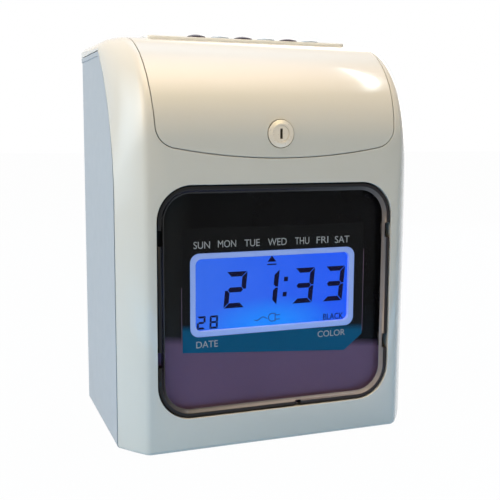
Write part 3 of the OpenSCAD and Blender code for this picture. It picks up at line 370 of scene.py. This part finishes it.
def digit(bm, char, x, z, size):
    """A leaning seven-segment digit of (width, height, stroke, lean), whose lower left corner is at x, z."""
    w, h, s, lean = size
    gap = s * SEGMENT_GAP
    mid = h / 2

    def bar(points):
        mark(bm, [(x + px + lean * pz / h, z + pz) for px, pz in points])

    for seg in SEGMENTS[char]:
        if seg == "a":
            bar([(gap, h), (w - gap, h), (w - s - gap, h - s), (s + gap, h - s)])
        elif seg == "d":
            bar([(gap, 0), (s + gap, s), (w - s - gap, s), (w - gap, 0)])
        elif seg == "g":
            bar([(gap + s / 2, mid), (s, mid + s / 2), (w - s, mid + s / 2), (w - s / 2 - gap, mid),
                 (w - s, mid - s / 2), (s, mid - s / 2)])
        else:
            top = seg in "bf"
            lo, hi = (mid + gap, h - gap) if top else (gap, mid - gap)
            outer, inner = (w, w - s) if seg in "bc" else (0, s)
            middle = (outer + inner) / 2
            if top:
                bar([(outer, hi), (inner, hi - s), (inner, lo + s / 2), (middle, lo), (outer, lo)])
            else:
                bar([(outer, lo), (inner, lo + s), (inner, hi - s / 2), (middle, hi), (outer, hi)])


def words(bm, items, front, depth, weight=0.0):
    """Lettering from (text, left, right, base, cap height) in case millimetres, as thin raised faces."""
    for text, left, right, base, cap in items:
        curve = bpy.data.curves.new("lettering", "FONT")
        curve.body = text
        curve.extrude = 0.5
        curve.offset = weight
        holder = bpy.data.objects.new("lettering", curve)
        bpy.context.collection.objects.link(holder)
        made = holder.evaluated_get(bpy.context.evaluated_depsgraph_get())
        mesh = bpy.data.meshes.new_from_object(made)
        xs = [v.co.x for v in mesh.vertices]
        ys = [v.co.y for v in mesh.vertices]
        kx = (right - left) / (max(xs) - min(xs))
        ky = cap / (max(ys) - min(ys))
        for v in mesh.vertices:
            back = front + depth if v.co.z < 0 else front
            v.co = at(left + (v.co.x - min(xs)) * kx, back, base + (v.co.y - min(ys)) * ky)
        bm.from_mesh(mesh)
        bpy.data.meshes.remove(mesh)
        bpy.data.objects.remove(holder)
        bpy.data.curves.remove(curve)


# Display marks, on the face of the display glass

def liquid_crystal():
    g = Graph("liquid_crystal")
    g.set(Base_Color=g.mix(g.noise(260.0), srgb(5, 6, 26), srgb(8, 9, 36)))
    g.set(Roughness=g.span(g.noise(400.0), 0.3, 0.45), Emission_Color=srgb(10, 10, 56), Emission_Strength=0.6,
          Specular_IOR_Level=0.1)
    return g.mat


BIG_DIGIT = (12.0, 19.9, 2.7, 1.9)
SMALL_DIGIT = (4.7, 7.2, 1.1, 0.3)
TIME_BASE, DAY_BASE = 74.7, 64.1
BLACK_WEIGHT = 0.005
mark_mat = liquid_crystal()


def big_digits(bm):
    """The time, with its leaning colon."""
    for char, x in (("2", -29.1), ("1", -10.1), ("3", 11.5), ("3", 30.3)):
        digit(bm, char, x, TIME_BASE, BIG_DIGIT)
    for x, z in ((6.9, 80.4), (7.6, 88.9)):
        mark(bm, [(x - 1.2, z - 1.25), (x + 1.1, z - 1.25), (x + 1.3, z + 1.25), (x - 1.0, z + 1.25)])


def small_marks(bm):
    """The day number, the arrow that points at a weekday, and the ribbon colour."""
    for char, x in (("2", -44.2), ("8", -37.1)):
        digit(bm, char, x, DAY_BASE, SMALL_DIGIT)
    mark(bm, [(-3.5, 99.0), (1.7, 99.0), (-0.9, 102.4)])
    mark(bm, [(-3.6, 97.2), (1.8, 97.2), (1.8, 97.9), (-3.6, 97.9)])
    words(bm, [("BLACK", 30.9, 43.5, 64.0, 3.5)], MARK_FRONT, MARK_BACK - MARK_FRONT, BLACK_WEIGHT)


piece("display_digits", big_digits, mark_mat)
piece("display_marks", small_marks, mark_mat)


PLUG_LINE = 0.42


def plug_mark(bm):
    """The plug sign: a wavy lead, a round body with a flat end and two prongs, drawn as thin strokes."""

    def stroke(points):
        for (x0, z0), (x1, z1) in zip(points, points[1:]):
            d = Vector((x1 - x0, z1 - z0)).normalized() * PLUG_LINE / 2
            nx, nz = -d.y, d.x
            mark(bm, [(x0 + nx, z0 + nz), (x1 + nx, z1 + nz), (x1 - nx, z1 - nz), (x0 - nx, z0 - nz)])

    stroke([(-11.0 + 0.4 * i, 67.3 + 0.75 * math.sin(i * 0.36 + 3.4) + 0.03 * i) for i in range(20)])
    body = [(1.3, 65.6), (1.3, 70.1)]
    body += [(-0.4 + 2.3 * math.cos(math.radians(a)), 67.85 + 2.25 * math.sin(math.radians(a)))
             for a in range(60, 301, 20)]
    stroke(body + body[:1])
    for z in (69.0, 66.6):
        stroke([(1.3, z), (4.1, z)])


def plug_ink():
    g = Graph("plug_ink")
    g.set(Base_Color=g.mix(g.noise(300.0), srgb(5, 22, 84), srgb(8, 30, 96)))
    g.set(Roughness=g.span(g.noise(400.0), 0.3, 0.45), Emission_Color=srgb(8, 44, 128), Emission_Strength=0.5)
    return g.mat


piece("display_plug_mark", plug_mark, plug_ink())


# Printed film on the display panel

PANEL_FACE = 6.4
FILM_BACK = PANEL_FACE - 0.01


def film_mat():
    """Black printed film with a teal foot that fades out upwards."""
    g = Graph("printed_film")
    x, _, z = g.axes()
    rise = g.span(g.maths("ADD", z, g.maths("MULTIPLY", x, 0.065)), 0.0, 1.0, 0.0622, 0.0660)
    mottle = g.noise(90.0, 4.0)
    teal = g.mix(mottle, srgb(3, 95, 140), srgb(8, 107, 155))
    g.set(Base_Color=g.mix(rise, teal, srgb(5, 6, 6)))
    g.set(Roughness=g.span(g.noise(500.0), 0.28, 0.42, 0.3, 0.7), Specular_IOR_Level=0.12)
    return g.mat


def film(bm):
    """The film is a plate round the display frame, cut low on the right."""
    outer = [(-52.9, 52.6), (43.2, 46.1), (54.3, 54.9), (54.3, 119.0), (-53.2, 119.0)]
    inner = rounded(0.0, 83.1, 48.7, 22.7, 5.1, 6)
    layers = []
    for y in (PANEL_FACE - 0.1, FILM_BACK):
        edges = []
        for loop in (outer, inner):
            verts = [bm.verts.new(at(x, y, z)) for x, z in loop]
            edges.append([bm.edges.new((v, verts[(i + 1) % len(verts)])) for i, v in enumerate(verts)])
        bmesh.ops.triangle_fill(bm, edges=edges[0] + edges[1], use_beauty=True)
        layers.append(edges)
    for k in (0, 1):
        bmesh.ops.bridge_loops(bm, edges=layers[0][k] + layers[1][k])


def film_edges(bm):
    """The film's cut upright edges, coloured pale as a painted highlight where they catch a little light."""
    right = [(54.3, 56.5), (54.65, 56.8), (54.65, 104.0), (54.3, 104.0)]
    left = [(-53.5, 58.0), (-53.2, 58.0), (-53.2, 88.0), (-53.5, 88.0)]
    for outline in (right, left):
        plate(bm, outline, PANEL_FACE - 0.16, FILM_BACK)


def film_edge_highlight_mat():
    # painted highlight: the film's cut edges in a pale plum
    g = Graph("film_edge")
    g.set(Base_Color=g.mix(g.noise(90.0, 4.0), srgb(96, 74, 100), srgb(132, 104, 134)))
    g.set(Roughness=g.span(g.noise(500.0), 0.3, 0.45))
    return g.mat


def print_mat():
    g = Graph("pale_print")
    g.set(Base_Color=g.mix(g.noise(700.0), srgb(178, 183, 188), srgb(210, 214, 218)))
    g.set(Roughness=g.span(g.noise(500.0), 0.4, 0.6))
    return g.mat


LABELS = [
    ("SUN", -46.7, -37.6, 108.3, 3.8), ("MON", -33.1, -22.8, 108.5, 3.8), ("TUE", -18.0, -9.2, 108.4, 3.8),
    ("WED", -4.4, 6.7, 108.3, 3.9), ("THU", 11.7, 20.3, 108.3, 3.9), ("FRI", 24.8, 32.0, 108.4, 3.7),
    ("SAT", 36.1, 45.2, 108.1, 3.9), ("DATE", -45.3, -33.1, 54.6, 3.6), ("COLOR", 26.4, 43.5, 54.9, 3.5),
]
piece("printed_film", film, film_mat())
piece("printed_film_edges", film_edges, film_edge_highlight_mat())
piece("printed_words", lambda bm: words(bm, LABELS, PANEL_FACE - 0.13, 0.03), print_mat())


# Smoky window tray: a clear sheet with a rounded rim, clip notches in its sides and a nub below

WIN_W, WIN_H, WIN_Z, WIN_R = 136.6, 124.3, 18.1, 19.0
WIN_MID = WIN_Z + WIN_H / 2
CLIP_ROWS = (WIN_Z + WIN_H - 27.3, WIN_Z + 33.0)
CLIP_STEPS = (4.2, 3.9, -3.9, -4.2)
NUB_STEPS = (10.6, 10.9, 13.7, 14.0)
NOTCH = 3.3
CORNER_STEPS = 14
SECTION = [(0.3, 6.2), (0.3, 2.2), (0.5, 1.3), (0.9, 0.8), (1.5, 0.7), (2.2, 0.75),
           (2.6, 1.0), (3.0, 1.4), (3.4, 1.8), (3.8, 2.2), (4.2, 2.55), (4.6, 2.7)]
RIM_RINGS = 6


def window_loop(inset):
    """Points round the window's outline, drawn in by inset, and to the notch at the clips and the nub."""
    w, h = WIN_W / 2, WIN_H / 2
    corners = rounded(0.0, WIN_MID, w - inset, h - inset, max(WIN_R - inset, 1.0), CORNER_STEPS)
    n = len(corners) // 4
    deep = max(inset, NOTCH)
    depths = (inset, deep, deep, inset)
    clips = [(d, row + step) for row in CLIP_ROWS for d, step in zip(depths, CLIP_STEPS)]
    left = [(d - w, z) for d, z in clips]
    foot = [(x, WIN_Z + d) for d, x in zip(depths, NUB_STEPS)]
    right = [(w - d, z) for d, z in clips[::-1]]
    return corners[:2 * n] + left + corners[2 * n:3 * n] + foot + corners[3 * n:] + right


def tray(bm):
    """Rings of the tray's section, from the outer wall over the rim down to the sheet, and its flat back."""
    rings = [[bm.verts.new(at(x, y, z)) for x, z in window_loop(inset)] for inset, y in SECTION]
    n = len(rings[0])
    for k, (a, b) in enumerate(zip(rings, rings[1:])):
        for i in range(n):
            face = bm.faces.new((a[i], a[(i + 1) % n], b[(i + 1) % n], b[i]))
            face.material_index = 1 if k < RIM_RINGS else 2
    bm.faces.new(rings[-1])
    bm.faces.new(rings[0][::-1])


def rim_mat(name, dark, painted_highlight_tone, spec):
    """The tray's rim: smoky plastic seen through its thickness, glossy, with a painted highlight that makes
    it paler towards the lower right.
    """
    g = Graph(name)
    wipe = g.noise(160.0, 5.0)
    x, _, z = g.axes()
    above = g.maths("SUBTRACT", z, at(0, 0, WIN_MID).z)
    # painted highlight: paler towards the lower right, where light falls on the rim
    highlight_slant = g.maths("ADD", g.maths("MULTIPLY", x, 0.75), g.maths("MULTIPLY", above, -0.55))
    colour = g.mix(g.span(highlight_slant, 0.0, 1.0, -0.03, 0.05), dark, painted_highlight_tone)
    g.set(Base_Color=g.mix(g.span(wipe, 0.0, 0.3), colour, (0, 0, 0, 1)))
    g.set(Roughness=g.span(wipe, 0.16, 0.22, 0.3, 0.7), Specular_IOR_Level=spec)
    return g.mat


lens = piece("window_tray", tray, MATS["lens"], smooth=True)
# The rims grow paler towards the lower right as a painted highlight, strongest on the slope.
lens.data.materials.append(rim_mat("lens_rim", srgb(16, 16, 18), srgb(40, 32, 34), 0.2))
lens.data.materials.append(rim_mat("lens_slope", srgb(14, 13, 14), srgb(142, 131, 128), 0.3))
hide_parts("window_lens")


# Stage and light

FLOOR_WHITE = 0.985
FLOOR_HALF = 6.0
AMBIENT = 0.04


def stage_mat():
    """Pale floor that shows white to the camera and keeps a soft shadow."""
    g = Graph("floor")
    g.set(Base_Color=g.mix(g.noise(6.0), (0.25, 0.41, 0.58, 1), (0.27, 0.44, 0.62, 1)), Roughness=0.9)
    path = g.add("ShaderNodeLightPath").outputs
    seen = g.maths("MAXIMUM", path["Is Camera Ray"], path["Is Glossy Ray"])
    seen = g.maths("MAXIMUM", seen, path["Is Transmission Ray"])
    white = g.add("ShaderNodeEmission", {"Color": (1, 1, 1, 1), "Strength": 1.0}).outputs[0]
    share = g.maths("MULTIPLY", seen, FLOOR_WHITE)
    blend = g.add("ShaderNodeMixShader", {0: share, 1: g.bsdf.outputs[0], 2: white})
    out = next(n for n in g.tree.nodes if n.type == "OUTPUT_MATERIAL")
    g.tree.links.new(blend.outputs[0], out.inputs["Surface"])
    return g.mat


floor_mesh = bpy.data.meshes.new("floor")
bm = bmesh.new()
bmesh.ops.create_grid(bm, x_segments=8, y_segments=8, size=FLOOR_HALF)
bm.to_mesh(floor_mesh)
bm.free()
floor_mesh.materials.append(stage_mat())
floor = bpy.data.objects.new("floor", floor_mesh)
bpy.context.collection.objects.link(floor)

world = bpy.data.worlds.new("studio")
bpy.context.scene.world = world
world.use_nodes = True
tree = world.node_tree
tree.nodes.clear()
path = tree.nodes.new("ShaderNodeLightPath").outputs
highest = path["Is Camera Ray"]
for ray in ("Is Glossy Ray", "Is Transmission Ray"):
    m = tree.nodes.new("ShaderNodeMath")
    m.operation = "MAXIMUM"
    tree.links.new(highest, m.inputs[0])
    tree.links.new(path[ray], m.inputs[1])
    highest = m.outputs[0]
ambient = tree.nodes.new("ShaderNodeBackground")
ambient.inputs["Color"].default_value = (0.95, 0.92, 0.8, 1)
ambient.inputs["Strength"].default_value = AMBIENT
white = tree.nodes.new("ShaderNodeBackground")
white.inputs["Color"].default_value = (1, 1, 1, 1)
both = tree.nodes.new("ShaderNodeMixShader")
tree.links.new(highest, both.inputs[0])
tree.links.new(ambient.outputs[0], both.inputs[1])
tree.links.new(white.outputs[0], both.inputs[2])
tree.links.new(both.outputs[0], tree.nodes.new("ShaderNodeOutputWorld").inputs["Surface"])


FEATHER = 0.4


def feather(data):
    """Fades a lamp out towards its edges and enlarges it by as much, so that its light stays."""
    g = Graph(data.name, data)
    split = g.add("ShaderNodeSeparateXYZ", {0: g.add("ShaderNodeNewGeometry").outputs["Parametric"]}).outputs
    near = [g.maths("MINIMUM", t, g.maths("SUBTRACT", 1.0, t)) for t in (split["X"], split["Y"])]
    g.set(Strength=g.maths("MULTIPLY", *(g.span(t, 0.0, 1.0, 0.0, FEATHER) for t in near)))
    grow = 1 / (1 - FEATHER)
    data.size *= grow
    data.size_y *= grow
    data.energy *= grow * grow


def lamp(name, place, target, size, watts, colour, spin=0.0, soft=True):
    """An area lamp that faces a target, turned about its own axis by spin degrees."""
    data = bpy.data.lights.new(name, "AREA")
    data.shape = "RECTANGLE"
    data.size, data.size_y = size
    data.energy = watts
    data.color = colour
    if soft:
        feather(data)
    obj = bpy.data.objects.new(name, data)
    place = Vector(place)
    turn = (Vector(target) - place).to_track_quat("-Z", "Y").to_matrix().to_4x4()
    obj.matrix_world = Matrix.Translation(place) @ turn @ Matrix.Rotation(math.radians(spin), 4, "Z")
    bpy.context.collection.objects.link(obj)


lamp("overhead", (0.1, -0.25, 1.2), (0, 0, 0.15), (0.9, 0.7), 9.7, (1.0, 0.82, 0.71))
lamp("front", (0.05, -0.65, 1.15), (0, 0, 0.15), (1.0, 0.8), 4.0, (1.0, 0.78, 0.24))
lamp("left_warm", (-1.0, -0.38, 0.7), (0, 0, 0.12), (0.7, 0.7), 7.8, (1.0, 0.81, 0.56))
lamp("left_cool", (-1.15, 0.1, 0.45), (0, 0, 0.12), (0.7, 0.7), 6.1, (0.66, 0.84, 1.0))
lamp("sky", (0.25, 0.4, 1.2), (0, 0, 0.15), (0.9, 0.7), 3.5, (0.26, 0.6, 1.0))
lamp("back", (0.6, 0.85, 0.5), (0, 0, 0.1), (0.5, 0.5), 5.0, (1.0, 0.94, 0.86))
lamp("strip", (0.628, -0.26, 1.22), (0.06, -0.05, 0.2), (0.45, 0.016), 1.1, (0.82, 0.94, 1.0), spin=28)
lamp("low", (0.04, -0.18, 0.02), (0.02, 0, 0.02), (0.4, 0.03), 0.06, (0.1, 0.5, 1.0), soft=False)
lamp("low_left", (-0.2, -0.12, 0.015), (-0.075, 0, 0.03), (0.2, 0.05), 0.045, (0.1, 0.55, 1.0))
